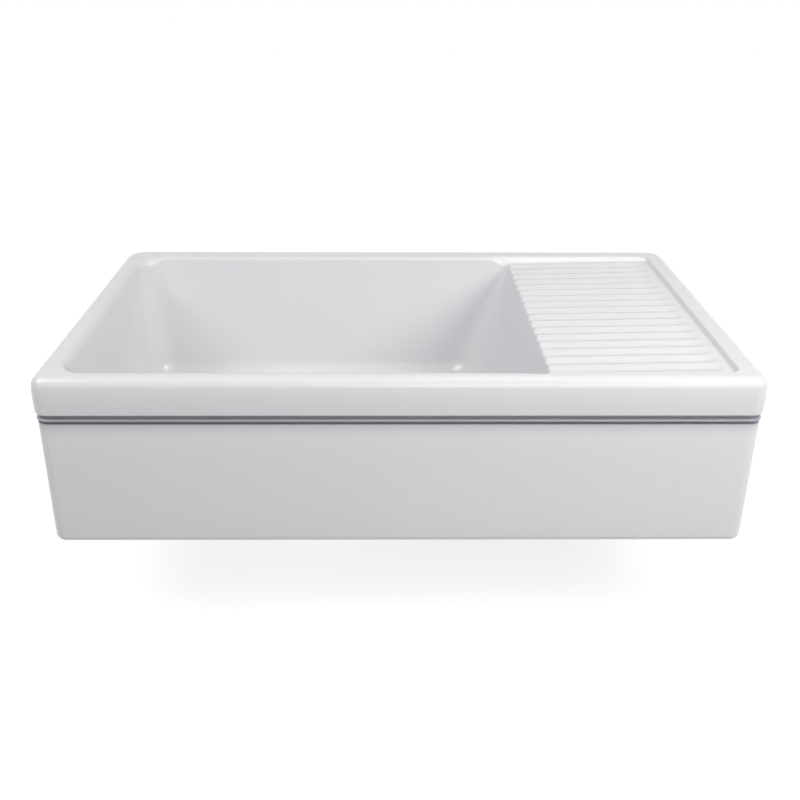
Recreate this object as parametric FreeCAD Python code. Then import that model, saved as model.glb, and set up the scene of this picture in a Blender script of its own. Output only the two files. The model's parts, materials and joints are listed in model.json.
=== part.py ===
import FreeCAD, Part
import math
import os

# Farmhouse apron front sink with a fluted drainboard, its basket strainer and its tailpiece.
# Millimetres. The origin is the centre of the base plane, +Z is up, +X is to the right and
# the apron faces -Y.

Vector = FreeCAD.Vector
UP = Vector(0, 0, 1)

# Glazed body: outside
sink_width = 914.0
sink_depth = 508.0
sink_height = 241.0
rim_edge_radius = 14.0        # rounding round the top of the lip
rim_lean = 1.6                # the upper part of the lip's face leans back by this
rim_lean_height = 24.0
rim_lean_radius = 150.0       # where the leaning face turns upright
front_corner_radius = 18.0    # plan radius of the lip's front corners
back_corner_radius = 30.0
lip_height = 50.3
lip_edge_radius = 2.0         # rounding under the lip
lip_overhang = 2.6            # the lip stands this far out from the apron
groove_inset = 8.0            # inset of the two grooves that bound the bead
upper_groove_height = 5.5
bead_inset = 1.5
bead_height = 4.0
bead_radius = 1.9
lower_groove_height = 3.0
apron_edge_radius = 1.0       # rounding of the apron's upper edge
base_edge_radius = 11.0

# Glazed body: bowl. Its walls are set in from the lip's outer planes.
bowl_left_inset = 33.0
bowl_front_inset = 27.0
bowl_back_inset = 42.0
bowl_right_x = 191.0          # top of the wall between the bowl and the drainboard
base_thickness = 24.0         # below the bowl, at the drain
bowl_draft = 1.7              # degrees, on the left, front and back walls
bowl_right_draft = 16.7       # degrees, on the wall below the drainboard
bowl_corner_radius = 38.0     # plan radius of the left corners
bowl_right_corner_high = 10.0 # plan radius of the right corners, where the drainboard runs in
bowl_right_corner_low = 50.0  # and at the floor
bowl_floor_radius = 32.0
bowl_rim_radius = 10.0
floor_fall = 3.0              # the floor drops this much from its edge to the drain
fillet_steps = 5              # sections in each rounded stretch of the bowl

# Glazed body: drainboard
board_right_inset = 33.0
board_front_inset = 24.8
board_back_inset = 38.3
board_high_drop = 5.5         # below the rim top, at the right end
board_low_drop = 10.0         # below the rim top, where it runs into the bowl
board_corner_radius = 12.0
board_ledge_length = 31.0     # the step behind and before the board runs on past the bowl's edge
board_rim_radius = 5.0
flute_count = 17
flute_radius = 26.0
flute_depth = 1.8
flute_end_gap = 24.0          # from where the flutes start to run out to the step

# Glazed body: hollow below the drainboard, and the drain's seat
wall_thickness = 22.0
board_thickness = 18.0
hollow_corner_radius = 14.0
drain_hole_radius = 45.0
seat_width = 14.0             # from the drain hole's edge to the seat's
seat_side = 1.2               # short straight sides where the floor meets the seat
seat_depth = 3.5
nut_recess_clearance = 12.0   # round the locknut's lugs
nut_recess_depth = 8.0

# Basket strainer: body
flange_clearance = 2.0        # inside the seat
flange_thickness = 1.2
flange_seal_thickness = 1.5
cup_wall = 1.8
cup_clearance = 0.6           # between the thread and the drain hole
cup_depth = 51.2              # flange top to the sealing floor
cup_floor_thickness = 2.0
cup_floor_radius = 4.0
thread_depth = 0.8
thread_pitch = 3.0
thread_turns = 9
outlet_bore_radius = 19.5
outlet_wall = 4.4
outlet_length = 20.0
outlet_mouth_rounding = 1.0
cup_mouth_rounding = 2.5
cross_drop = 5.3              # sealing floor to the top of the cross
cross_thickness = 3.0
cross_width = 4.0
cross_hub_radius = 7.0

# Basket strainer: what clamps it to the sink
rubber_washer_thickness = 3.0
rubber_washer_margin = 1.0    # beyond the friction ring
friction_ring_thickness = 1.2
friction_ring_margin = 1.0    # beyond the locknut's flange
washer_clearance = 0.6
thread_clearance = 0.15
locknut_height = 10.0
locknut_wall = 7.6
locknut_flange_width = 6.0
locknut_flange_thickness = 3.0
locknut_lugs = 6
lug_length = 11.0
lug_width = 10.0
lug_root = 1.0                # how far a lug is let into the nut
lug_step = 1.0                # the lugs stop short of the nut's top by this
lug_corner_radius = 2.0

# Tailpiece
outlet_washer_thickness = 2.0
outlet_washer_inset = 0.4     # from the outlet's outside
tailpiece_radius = 19.05
tailpiece_wall = 1.0
tailpiece_length = 100.0
tailpiece_flange_inset = 0.9  # from the outlet's outside
tailpiece_flange_thickness = 1.2
tailpiece_neck_step = 0.3
tailpiece_neck_length = 7.0
coupling_wall = 5.1
coupling_overlap = 14.0       # how far the coupling nut covers the outlet
coupling_lip_thickness = 3.0
coupling_lip_clearance = 0.25
coupling_grips = 10
coupling_grip_radius = 3.0
coupling_grip_depth = 1.2
coupling_taper = 2.0
coupling_taper_height = 6.0
coupling_rounding = 1.5

# Stopper: the post and what it carries
pin_radius = 3.5
pin_clearance = 0.05
pin_reach = 11.0              # below the cross
pin_tip_rounding = 1.5
seal_overlap = 6.5            # beyond the outlet's bore
seal_rounding = 1.2
seal_thickness = 4.0
seal_clearance = 0.2          # between the seal and the sealing floor when it is shut
seal_washer_inset = 6.0       # from the seal's edge
seal_washer_thickness = 1.2
spigot_radius = 4.0
spigot_clearance = 0.05
stopper_nut_width = 14.0      # across flats
stopper_nut_sides = 6
stopper_nut_height = 3.0
collar_radius = 9.0
collar_thickness = 3.8
journal_radius = 4.5
journal_clearance = 0.05
stem_radius = 4.0
stem_height = 31.0            # collar top to stem top
clip_groove_depth = 0.9
clip_clearance = 0.1
clip_radius = 8.0
clip_thickness = 1.0
clip_opening = 60.0           # degrees
pin_clip_height = 4.0         # above the end of the pin
pin_clip_groove_depth = 0.6
knob_radius = 10.0
knob_height = 12.0
knob_neck_radius = 6.0
knob_bore_depth = 6.0
knob_neck_height = 4.0
knob_neck_rounding = 2.0
knob_head_height = 5.0
knob_top_rounding = 3.0

# Basket
basket_clearance = 0.3        # under and over the basket's floor
basket_wall = 0.9
basket_taper = 8.0            # from the mouth in to the floor
basket_height = 35.0
basket_rim_clearance = 2.2    # inside the strainer body's bore
basket_rim_width = 2.6
basket_rim_thickness = 1.6
basket_corner_radius = 4.0
basket_hole_radius = 2.6
basket_hole_rows = 3
basket_holes_per_row = 16
basket_hole_row_gap = 8.0
basket_floor_holes = 8
basket_floor_hole_inset = 9.0 # from the floor's edge

# Small roundings on the turned and moulded pieces
edge_rounding = 0.8
sheet_rounding = 0.4

# Two points closer than this are one
same_point = 1e-6

# Heights that several pieces share
floor_z = base_thickness
seat_z = floor_z - seat_depth
clamp_z = nut_recess_depth
flange_underside_z = seat_z + flange_seal_thickness
flange_top_z = flange_underside_z + flange_thickness
sealing_z = flange_top_z - cup_depth
cup_bottom_z = sealing_z - cup_floor_thickness
outlet_end_z = cup_bottom_z - outlet_length
cross_top_z = sealing_z - cross_drop
cross_bottom_z = cross_top_z - cross_thickness
friction_top_z = clamp_z - rubber_washer_thickness
locknut_top_z = friction_top_z - friction_ring_thickness
locknut_bottom_z = locknut_top_z - locknut_height
tailpiece_top_z = outlet_end_z - outlet_washer_thickness
seal_bottom_z = sealing_z + seal_clearance
seal_top_z = seal_bottom_z + seal_thickness
collar_bottom_z = seal_top_z + seal_washer_thickness
collar_top_z = collar_bottom_z + collar_thickness
pin_end_z = cross_bottom_z - pin_reach
basket_floor_z = collar_top_z + basket_clearance
clip_bottom_z = basket_floor_z + basket_wall + basket_clearance
stem_top_z = collar_top_z + stem_height

# Radii that several pieces share
thread_crest_radius = drain_hole_radius - cup_clearance
thread_root_radius = thread_crest_radius - thread_depth
cup_bore_radius = thread_root_radius - cup_wall
seat_radius = drain_hole_radius + seat_width
flange_radius = seat_radius - flange_clearance
locknut_radius = thread_crest_radius + locknut_wall
locknut_flange_radius = locknut_radius + locknut_flange_width
friction_ring_radius = locknut_flange_radius + friction_ring_margin
rubber_washer_radius = friction_ring_radius + rubber_washer_margin
lug_reach = locknut_radius + lug_length
nut_recess_radius = lug_reach + nut_recess_clearance
outlet_radius = outlet_bore_radius + outlet_wall
tailpiece_flange_radius = outlet_radius - tailpiece_flange_inset
tailpiece_neck_radius = tailpiece_radius + tailpiece_neck_step
coupling_radius = outlet_radius + coupling_wall
seal_radius = outlet_bore_radius + seal_overlap
seal_washer_radius = seal_radius - seal_washer_inset
basket_rim_radius = cup_bore_radius - basket_rim_clearance
basket_mouth_radius = basket_rim_radius - basket_rim_width
basket_floor_radius = basket_mouth_radius - basket_taper
basket_floor_hole_ring = basket_floor_radius - basket_floor_hole_inset

# Plan of the body
half_width = sink_width / 2
half_depth = sink_depth / 2
board_right_x = half_width - board_right_inset
board_front_y = -half_depth + board_front_inset
board_back_y = half_depth - board_back_inset
board_low_z = sink_height - board_low_drop
board_high_z = sink_height - board_high_drop
board_slope = (board_high_z - board_low_z) / (board_right_x - bowl_right_x)
flute_pitch = (board_back_y - board_front_y) / (flute_count + 1)


def bowl_right_at(z):
    return bowl_right_x - (board_low_z - z) * math.tan(math.radians(bowl_right_draft))


def drafted(inset_at_rim, z):
    return inset_at_rim + (sink_height - z) * math.tan(math.radians(bowl_draft))


floor_left_x = -half_width + drafted(bowl_left_inset, floor_z)
floor_front_y = -half_depth + drafted(bowl_front_inset, floor_z)
floor_back_y = half_depth - drafted(bowl_back_inset, floor_z)
drain_x = (floor_left_x + bowl_right_at(floor_z)) / 2
drain_y = (floor_front_y + floor_back_y) / 2


# Outlines

def corner_arc(before, corner, after, radius):
    # start, middle and end of the arc that rounds a corner
    to_before = (before - corner).normalize()
    to_after = (after - corner).normalize()
    half_angle = to_before.getAngle(to_after) / 2
    reach = radius / math.tan(half_angle)
    bisector = (to_before + to_after).normalize()
    centre = corner + bisector * (radius / math.sin(half_angle))
    return corner + to_before * reach, centre - bisector * radius, corner + to_after * reach


def outline(corners, place):
    # closed wire through (u, v, radius) corners, each rounded by its own radius
    points = [place(u, v) for u, v, radius in corners]
    count = len(points)
    stretches = []
    for i, (u, v, radius) in enumerate(corners):
        if radius > 0:
            stretches.append(corner_arc(points[i - 1], points[i], points[(i + 1) % count], radius))
        else:
            stretches.append((points[i],))
    edges = []
    for i, stretch in enumerate(stretches):
        if len(stretch) == 3:
            edges.append(Part.Arc(*stretch).toShape())
        start = stretch[-1]
        end = stretches[(i + 1) % count][0]
        if start.distanceToPoint(end) > same_point:
            edges.append(Part.makeLine(start, end))
    return Part.Wire(edges)


def plan(left, right, front, back, radius, z):
    # rounded rectangle at height z
    corners = [(left, front, radius), (right, front, radius), (right, back, radius), (left, back, radius)]
    return outline(corners, lambda x, y: Vector(x, y, z))


def turned(corners):
    # solid of revolution about the drain's axis from (radius, height, rounding) corners
    wire = outline(corners, lambda r, z: Vector(r, 0, z))
    solid = Part.Face(wire).revolve(Vector(0, 0, 0), UP, 360)
    solid.translate(Vector(drain_x, drain_y, 0))
    return solid


def cylinder(radius, bottom_z, top_z):
    return Part.makeCylinder(radius, top_z - bottom_z, Vector(drain_x, drain_y, bottom_z))


def round_drain(shape, angle):
    # copy of a shape turned about the drain's axis
    copy = shape.copy()
    copy.rotate(Vector(drain_x, drain_y, 0), UP, angle)
    return copy


def ring(inner_radius, outer_radius, bottom_z, top_z, rounding=0.0):
    return turned([
        (inner_radius, bottom_z, 0), (outer_radius, bottom_z, rounding),
        (outer_radius, top_z, rounding), (inner_radius, top_z, 0)])


# Glazed body

def lip_corners(thickness):
    # section of a wall as (inset from the lip, height): base, apron, bead, lip and rim
    lip_bottom = sink_height - lip_height
    bead_top = lip_bottom - upper_groove_height
    bead_bottom = bead_top - bead_height
    apron_top = bead_bottom - lower_groove_height
    return [
        (thickness, 0, 0),
        (lip_overhang, 0, base_edge_radius),
        (lip_overhang, apron_top, apron_edge_radius),
        (groove_inset, apron_top, 0),
        (groove_inset, bead_bottom, 0),
        (bead_inset, bead_bottom, bead_radius),
        (bead_inset, bead_top, bead_radius),
        (groove_inset, bead_top, 0),
        (groove_inset, lip_bottom, 0),
        (0, lip_bottom, lip_edge_radius),
        (0, sink_height - rim_lean_height, rim_lean_radius),
        (rim_lean, sink_height, rim_edge_radius),
        (thickness, sink_height, 0)]


def wall_face(distance, thickness):
    # the wall's section, facing -Y with the lip's plane at the given distance from the origin
    return Part.Face(outline(lip_corners(thickness), lambda inset, z: Vector(0, inset - distance, z)))


def wall_side(distance, thickness, start, end, angle):
    # straight wall facing -Y from start to end along X, then turned about the origin
    side = wall_face(distance, thickness).extrude(Vector(end - start, 0, 0))
    side.translate(Vector(start, 0, 0))
    side.rotate(Vector(0, 0, 0), UP, angle)
    return side


def wall_corner(x, y, radius, angle):
    corner = wall_face(radius, radius).revolve(Vector(0, 0, 0), UP, 90)
    corner.rotate(Vector(0, 0, 0), UP, angle)
    corner.translate(Vector(x, y, 0))
    return corner


def outer_block():
    # a core with a wall on each side and a turned corner between each two walls
    side_thickness = max(front_corner_radius, back_corner_radius)
    front_x = half_width - front_corner_radius
    front_y = -half_depth + front_corner_radius
    back_x = half_width - back_corner_radius
    back_y = half_depth - back_corner_radius
    core_width = sink_width - 2 * side_thickness
    core = Part.makeBox(core_width, back_y - front_y, sink_height, Vector(-core_width / 2, front_y, 0))
    walls = [
        wall_side(half_depth, front_corner_radius, -front_x, front_x, 0),
        wall_side(half_width, side_thickness, front_y, back_y, 90),
        wall_side(half_depth, back_corner_radius, -back_x, back_x, 180),
        wall_side(half_width, side_thickness, -back_y, -front_y, 270),
        wall_corner(front_x, front_y, front_corner_radius, 0),
        wall_corner(back_x, back_y, back_corner_radius, 90),
        wall_corner(-back_x, back_y, back_corner_radius, 180),
        wall_corner(-front_x, front_y, front_corner_radius, 270)]
    return core.fuse(walls).removeSplitter()


def bowl_right_corner_at(z):
    # plan radius of the bowl's right corners, which grows evenly from the board to the floor
    fall = (board_low_z - z) / (board_low_z - floor_z)
    return bowl_right_corner_high + (bowl_right_corner_low - bowl_right_corner_high) * fall


def bowl_section(z, grow):
    # the bowl's plan at height z, grown outwards by grow
    left = -half_width + drafted(bowl_left_inset, z) - grow
    right = bowl_right_at(z) + grow
    front = -half_depth + drafted(bowl_front_inset, z) - grow
    back = half_depth - drafted(bowl_back_inset, z) + grow
    left_radius = bowl_corner_radius + grow
    right_radius = bowl_right_corner_at(z) + grow
    corners = [
        (left, front, left_radius), (right, front, right_radius),
        (right, back, right_radius), (left, back, left_radius)]
    return outline(corners, lambda x, y: Vector(x, y, z))


def bowl_floor_dish(edge_section):
    # the floor falls from the foot of the walls to the drain's seat
    seat = plan(
        drain_x - seat_radius, drain_x + seat_radius, drain_y - seat_radius, drain_y + seat_radius,
        seat_radius - seat_side, floor_z)
    return Part.makeLoft([edge_section, seat], True, True)


def bowl_cavity():
    foot_z = floor_z + floor_fall + bowl_floor_radius
    neck_z = sink_height - bowl_rim_radius
    angles = [math.radians(90 * i / fillet_steps) for i in range(fillet_steps + 1)]
    floor_sections = [
        bowl_section(foot_z - bowl_floor_radius * math.sin(a), bowl_floor_radius * (math.cos(a) - 1))
        for a in angles]
    rim_sections = [
        bowl_section(neck_z + bowl_rim_radius * math.sin(a), bowl_rim_radius * (1 - math.cos(a)))
        for a in angles]
    walls = Part.makeLoft([floor_sections[0], rim_sections[0]], True, True)
    foot = Part.makeLoft(floor_sections, True, True)
    rim = Part.makeLoft(rim_sections, True, True)
    return [walls, foot, rim, bowl_floor_dish(floor_sections[-1])]


def board_section(z, grow):
    return plan(
        bowl_right_x - board_ledge_length, board_right_x + grow,
        board_front_y - grow, board_back_y + grow, board_corner_radius + grow, z)


def board_recess():
    neck_z = sink_height - board_rim_radius
    angles = [math.radians(90 * i / fillet_steps) for i in range(fillet_steps + 1)]
    rim_sections = [
        board_section(neck_z + board_rim_radius * math.sin(a), board_rim_radius * (1 - math.cos(a)))
        for a in angles]
    below = board_section(board_low_z - board_rim_radius, 0)
    well = Part.makeLoft([below, rim_sections[0]], True, True)
    rim = Part.makeLoft(rim_sections, True, True)
    left_x = bowl_right_x - 2 * board_ledge_length
    right_x = half_width
    floor_corners = [
        (left_x, board_z(left_x), 0), (right_x, board_z(right_x), 0),
        (right_x, sink_height, 0), (left_x, sink_height, 0)]
    wedge_wire = outline(floor_corners, lambda x, z: Vector(x, -half_depth, z))
    wedge = Part.Face(wedge_wire).extrude(Vector(0, sink_depth, 0))
    return well.common(wedge).fuse(rim.common(wedge))


def board_z(x):
    return board_low_z + (x - bowl_right_x) * board_slope


def flutes():
    # round-ended grooves that run down the drainboard into the bowl
    start_x = bowl_right_x - board_ledge_length
    end_x = board_right_x - flute_end_gap
    lift = flute_radius - flute_depth
    start = Vector(start_x, 0, board_z(start_x) + lift)
    end = Vector(end_x, 0, board_z(end_x) + lift)
    along = end - start
    groove = Part.makeCylinder(flute_radius, along.Length, start, along)
    groove = groove.fuse(Part.makeSphere(flute_radius, end))
    grooves = []
    for i in range(flute_count):
        copy = groove.copy()
        copy.translate(Vector(0, board_front_y + (i + 1) * flute_pitch, 0))
        grooves.append(copy)
    return grooves


def underside_hollow():
    # open below: keeps the wall's thickness all round and the board's thickness above
    outer_inset = lip_overhang + wall_thickness
    lean = math.tan(math.radians(bowl_right_draft))
    top_left_z = board_low_z - board_thickness
    top_left_x = bowl_right_at(top_left_z) + wall_thickness
    right_x = half_width - outer_inset
    corners = [
        (top_left_x - top_left_z * lean, 0, 0), (right_x, 0, 0),
        (right_x, board_z(right_x) - board_thickness, hollow_corner_radius),
        (top_left_x, top_left_z, hollow_corner_radius)]
    wire = outline(corners, lambda x, z: Vector(x, -half_depth, z))
    prism = Part.Face(wire).extrude(Vector(0, sink_depth, 0))
    shaft_plan = plan(
        0, right_x, outer_inset - half_depth, half_depth - outer_inset, hollow_corner_radius, 0)
    shaft = Part.Face(shaft_plan).extrude(Vector(0, 0, sink_height))
    return prism.common(shaft)


def sink_body():
    body = outer_block().cut(bowl_cavity())
    body = body.cut(board_recess())
    body = body.cut(flutes())
    body = body.cut([
        underside_hollow(),
        cylinder(drain_hole_radius, 0, floor_z),
        cylinder(seat_radius, seat_z, floor_z + floor_fall),
        cylinder(nut_recess_radius, 0, nut_recess_depth)])
    return body


# Basket strainer

def thread_corners():
    # zigzag of the thread's ridges, going down
    top_z = clamp_z - rubber_washer_thickness
    corners = []
    for i in range(thread_turns):
        z = top_z - i * thread_pitch
        corners.append((thread_root_radius, z, 0))
        corners.append((thread_crest_radius, z - thread_pitch / 2, 0))
    corners.append((thread_root_radius, top_z - thread_turns * thread_pitch, 0))
    return corners


def strainer_body():
    corners = [
        (flange_radius, flange_top_z, 0), (flange_radius, flange_underside_z, 0),
        (thread_root_radius, flange_underside_z, edge_rounding)]
    corners += thread_corners()
    corners += [
        (thread_root_radius, cup_bottom_z, cup_floor_radius),
        (outlet_radius, cup_bottom_z, 0),
        (outlet_radius, outlet_end_z, 0),
        (outlet_bore_radius, outlet_end_z, 0),
        (outlet_bore_radius, sealing_z, outlet_mouth_rounding),
        (cup_bore_radius, sealing_z, cup_floor_radius - edge_rounding),
        (cup_bore_radius, flange_top_z, cup_mouth_rounding)]
    body = turned(corners)
    bar_half_length = (outlet_bore_radius + outlet_radius) / 2
    bar = Part.makeBox(
        2 * bar_half_length, cross_width, cross_thickness,
        Vector(drain_x - bar_half_length, drain_y - cross_width / 2, cross_bottom_z))
    hub = cylinder(cross_hub_radius, cross_bottom_z, cross_top_z)
    body = body.fuse([bar, round_drain(bar, 90), hub]).removeSplitter()
    return body.cut(cylinder(pin_radius + pin_clearance, cross_bottom_z, cross_top_z))


def flange_seal():
    return ring(drain_hole_radius, flange_radius - edge_rounding, seat_z, flange_underside_z)


def rubber_washer():
    inner = thread_crest_radius + washer_clearance
    return ring(inner, rubber_washer_radius, friction_top_z, clamp_z, edge_rounding)


def friction_ring():
    inner = thread_crest_radius + washer_clearance
    return ring(inner, friction_ring_radius, locknut_top_z, friction_top_z)


def locknut():
    bore = thread_crest_radius + thread_clearance
    flange_bottom = locknut_top_z - locknut_flange_thickness
    nut = turned([
        (bore, locknut_bottom_z, 0), (locknut_radius, locknut_bottom_z, edge_rounding),
        (locknut_radius, flange_bottom, edge_rounding),
        (locknut_flange_radius, flange_bottom, edge_rounding),
        (locknut_flange_radius, locknut_top_z, edge_rounding), (bore, locknut_top_z, 0)])
    root = locknut_radius - lug_root
    lug = Part.makeBox(
        lug_reach - root, lug_width, locknut_height - lug_step,
        Vector(drain_x + root, drain_y - lug_width / 2, locknut_bottom_z))
    lug = lug.makeFillet(lug_corner_radius, [edge for edge in lug.Edges if is_outer_upright(edge)])
    lugs = [round_drain(lug, 360 / locknut_lugs * i) for i in range(locknut_lugs)]
    return nut.fuse(lugs).removeSplitter()


def is_outer_upright(edge):
    direction = edge.tangentAt(edge.FirstParameter)
    middle = edge.CenterOfMass
    return abs(direction.z) > abs(direction.x) + abs(direction.y) and middle.x > drain_x + locknut_radius


# Tailpiece

def outlet_washer():
    return ring(outlet_bore_radius, outlet_radius - outlet_washer_inset, tailpiece_top_z, outlet_end_z)


def tailpiece():
    flange_bottom = tailpiece_top_z - tailpiece_flange_thickness
    neck_bottom = flange_bottom - tailpiece_neck_length
    bore = tailpiece_radius - tailpiece_wall
    return turned([
        (bore, tailpiece_top_z - tailpiece_length, 0),
        (tailpiece_radius, tailpiece_top_z - tailpiece_length, 0),
        (tailpiece_radius, neck_bottom, 0),
        (tailpiece_neck_radius, neck_bottom, 0),
        (tailpiece_neck_radius, flange_bottom, 0),
        (tailpiece_flange_radius, flange_bottom, sheet_rounding),
        (tailpiece_flange_radius, tailpiece_top_z, sheet_rounding),
        (bore, tailpiece_top_z, edge_rounding)])


def coupling_nut():
    top_z = outlet_end_z + coupling_overlap
    lip_top = tailpiece_top_z - tailpiece_flange_thickness
    bottom_z = lip_top - coupling_lip_thickness
    bore = outlet_radius + thread_clearance
    lip_bore = tailpiece_neck_radius + coupling_lip_clearance
    nut = turned([
        (lip_bore, bottom_z, edge_rounding),
        (coupling_radius - coupling_taper, bottom_z, coupling_rounding),
        (coupling_radius, bottom_z + coupling_taper_height, 0),
        (coupling_radius, top_z, coupling_rounding),
        (bore, top_z, 0), (bore, lip_top, 0), (lip_bore, lip_top, 0)])
    groove_x = drain_x + coupling_radius + coupling_grip_radius - coupling_grip_depth
    groove = Part.makeCylinder(coupling_grip_radius, top_z - bottom_z, Vector(groove_x, drain_y, bottom_z))
    return nut.cut([round_drain(groove, 360 / coupling_grips * i) for i in range(coupling_grips)])


# Stopper

def stopper_post():
    clip_groove = journal_radius - clip_groove_depth
    pin_groove = pin_radius - pin_clip_groove_depth
    pin_clip_z = pin_end_z + pin_clip_height
    nut_bottom = seal_bottom_z - stopper_nut_height
    clip_top = clip_bottom_z + clip_thickness
    return turned([
        (0, pin_end_z, 0), (pin_radius, pin_end_z, pin_tip_rounding),
        (pin_radius, pin_clip_z, 0), (pin_groove, pin_clip_z, 0),
        (pin_groove, pin_clip_z + clip_thickness, 0), (pin_radius, pin_clip_z + clip_thickness, 0),
        (pin_radius, nut_bottom, 0), (spigot_radius, nut_bottom, 0),
        (spigot_radius, collar_bottom_z, 0), (collar_radius, collar_bottom_z, sheet_rounding),
        (collar_radius, collar_top_z, sheet_rounding), (journal_radius, collar_top_z, 0),
        (journal_radius, clip_bottom_z, 0), (clip_groove, clip_bottom_z, 0),
        (clip_groove, clip_top, 0), (stem_radius, clip_top, 0),
        (stem_radius, stem_top_z, sheet_rounding), (0, stem_top_z, 0)])


def stopper_seal():
    return ring(spigot_radius + spigot_clearance, seal_radius, seal_bottom_z, seal_top_z, seal_rounding)


def seal_washer():
    bore = spigot_radius + spigot_clearance
    return ring(bore, seal_washer_radius, seal_top_z, collar_bottom_z, sheet_rounding)


def stopper_nut():
    bottom_z = seal_bottom_z - stopper_nut_height
    turn = 360 / stopper_nut_sides
    corner_radius = stopper_nut_width / 2 / math.cos(math.radians(turn / 2))
    first = Part.Vertex(Vector(drain_x + corner_radius, drain_y, bottom_z))
    corners = [round_drain(first, turn * i).Point for i in range(stopper_nut_sides)]
    prism = Part.Face(Part.makePolygon(corners + corners[:1])).extrude(Vector(0, 0, stopper_nut_height))
    return prism.cut(cylinder(spigot_radius + spigot_clearance, bottom_z, seal_bottom_z))


def open_ring(groove_radius, outer_radius, bottom_z):
    # snap ring with a gap
    whole = ring(groove_radius + clip_clearance, outer_radius, bottom_z, bottom_z + clip_thickness)
    reach = 2 * outer_radius
    half_angle = math.radians(clip_opening / 2)
    centre = Vector(drain_x, drain_y, bottom_z)
    left = centre + Vector(reach * math.cos(half_angle), reach * math.sin(half_angle), 0)
    right = centre + Vector(reach * math.cos(half_angle), -reach * math.sin(half_angle), 0)
    wedge = Part.Face(Part.makePolygon([centre, right, left, centre]))
    return whole.cut(wedge.extrude(Vector(0, 0, clip_thickness)))


def basket_clip():
    return open_ring(journal_radius - clip_groove_depth, clip_radius, clip_bottom_z)


def pin_clip():
    return open_ring(pin_radius - pin_clip_groove_depth, pin_radius, pin_end_z + pin_clip_height)


def stopper_knob():
    bore = stem_radius + spigot_clearance
    bottom_z = stem_top_z - knob_bore_depth
    top_z = bottom_z + knob_height
    return turned([
        (bore, bottom_z, 0), (knob_neck_radius, bottom_z, edge_rounding),
        (knob_neck_radius, bottom_z + knob_neck_height, knob_neck_rounding),
        (knob_radius, top_z - knob_head_height, edge_rounding),
        (knob_radius, top_z, knob_top_rounding), (0, top_z, 0),
        (0, stem_top_z, 0), (bore, stem_top_z, 0)])


# Basket

def basket_shell():
    top_z = basket_floor_z + basket_height
    floor_top = basket_floor_z + basket_wall
    inner_floor_radius = basket_floor_radius - basket_wall
    inner_mouth_radius = basket_mouth_radius - basket_wall
    rim_bottom = top_z - basket_rim_thickness
    bore = journal_radius + journal_clearance
    return turned([
        (bore, basket_floor_z, 0),
        (basket_floor_radius, basket_floor_z, basket_corner_radius + basket_wall),
        (basket_mouth_radius, rim_bottom, sheet_rounding),
        (basket_rim_radius, rim_bottom, sheet_rounding),
        (basket_rim_radius, top_z, edge_rounding),
        (inner_mouth_radius, top_z, edge_rounding),
        (inner_floor_radius, floor_top, basket_corner_radius),
        (bore, floor_top, 0)])


def basket_cup():
    holes = []
    first_z = basket_floor_z + basket_height / 2 - basket_hole_row_gap * (basket_hole_rows - 1) / 2
    for row in range(basket_hole_rows):
        z = first_z + row * basket_hole_row_gap
        hole = Part.makeCylinder(
            basket_hole_radius, basket_rim_radius, Vector(drain_x, drain_y, z), Vector(1, 0, 0))
        stagger = 180 / basket_holes_per_row * (row % 2)
        for i in range(basket_holes_per_row):
            holes.append(round_drain(hole, 360 / basket_holes_per_row * i + stagger))
    floor_hole = Part.makeCylinder(
        basket_hole_radius, basket_wall,
        Vector(drain_x + basket_floor_hole_ring, drain_y, basket_floor_z))
    for i in range(basket_floor_holes):
        holes.append(round_drain(floor_hole, 360 / basket_floor_holes * i))
    return basket_shell().cut(holes)


nodes = {
    "sink_body": sink_body,
    "strainer_body": strainer_body,
    "flange_seal": flange_seal,
    "rubber_washer": rubber_washer,
    "friction_ring": friction_ring,
    "locknut": locknut,
    "outlet_washer": outlet_washer,
    "tailpiece": tailpiece,
    "coupling_nut": coupling_nut,
    "stopper_post": stopper_post,
    "stopper_seal": stopper_seal,
    "seal_washer": seal_washer,
    "stopper_nut": stopper_nut,
    "basket_clip": basket_clip,
    "pin_clip": pin_clip,
    "stopper_knob": stopper_knob,
    "basket_cup": basket_cup,
}

os.makedirs("parts", exist_ok=True)
for name, make in nodes.items():
    shape = make()
    shape.exportStep("parts/" + name + ".step")
    box = shape.BoundBox
    print(name, "valid", shape.isValid(), "solids", len(shape.Solids), "volume", round(shape.Volume),
          "z", round(box.ZMin, 2), round(box.ZMax, 2))
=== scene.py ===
import bpy
import json
import math
from mathutils import Matrix, Vector
from mathutils.geometry import delaunay_2d_cdt

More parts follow.
